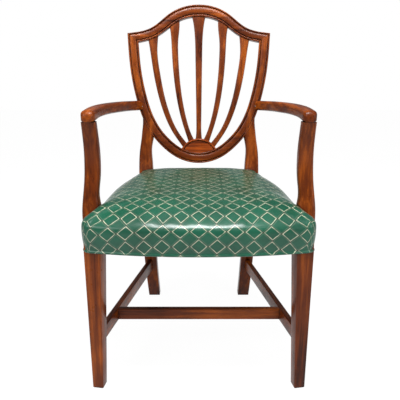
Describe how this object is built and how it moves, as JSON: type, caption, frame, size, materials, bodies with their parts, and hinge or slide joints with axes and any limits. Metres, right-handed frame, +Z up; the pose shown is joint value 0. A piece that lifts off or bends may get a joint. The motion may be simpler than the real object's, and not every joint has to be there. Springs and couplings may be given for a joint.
{
  "type": "shield back open armchair",
  "caption": "Shield-back open armchair in moulded mahogany with fanned splats, swept arms, tapered legs, an H stretcher and a stuffed-over bow-fronted seat.",
  "frame": {"origin": "on the floor under the middle of the chair's overall box", "axes": "+Z up; the chair faces -Y; +X is its left hand side, on the right as seen from the front; symmetric about X = 0"},
  "size_m": [0.594, 0.6292, 0.9787],
  "materials": {
    "mahogany": "French-polished reddish mahogany",
    "seat_frame_wood": "plain sawn beech, hidden",
    "seat_cover_fabric": "green silky weave with a cream diamond trellis",
    "stuffing": "hair stuffing under wadding, hidden",
    "webbing": "jute webbing, hidden",
    "hessian": "hessian, hidden",
    "bottom_cloth": "black cotton bottom cloth",
    "screw_steel": "steel wood screws, hidden"
  },
  "bodies": {
    "root": {"arm_left": "mahogany", "arm_right": "mahogany", "arm_screws": "screw_steel", "arm_support_dowel_left": "seat_frame_wood", "arm_support_dowel_right": "seat_frame_wood", "arm_support_left": "mahogany", "arm_support_right": "mahogany", "arm_support_screws": "screw_steel", "back_post_left": "mahogany", "back_post_right": "mahogany", "bottom_cloth": "bottom_cloth", "crest_rail": "mahogany", "cross_stretcher": "mahogany", "front_corner_block_left": "seat_frame_wood", "front_corner_block_right": "seat_frame_wood", "front_leg_left": "mahogany", "front_leg_right": "mahogany", "front_seat_rail": "seat_frame_wood", "hessian": "hessian", "lunette": "mahogany", "rear_corner_block_left": "seat_frame_wood", "rear_corner_block_right": "seat_frame_wood", "rear_seat_rail": "seat_frame_wood", "seat_cover": "seat_cover_fabric", "seat_stuffing": "stuffing", "shield_bowl_rail": "mahogany", "side_seat_rail_left": "seat_frame_wood", "side_seat_rail_right": "seat_frame_wood", "side_stretcher_left": "mahogany", "side_stretcher_right": "mahogany", "splat_centre": "mahogany", "splat_inner_left": "mahogany", "splat_inner_right": "mahogany", "splat_outer_left": "mahogany", "splat_outer_right": "mahogany", "webbing_front_to_back": "webbing", "webbing_side_to_side": "webbing"}
  },
  "joints": []
}
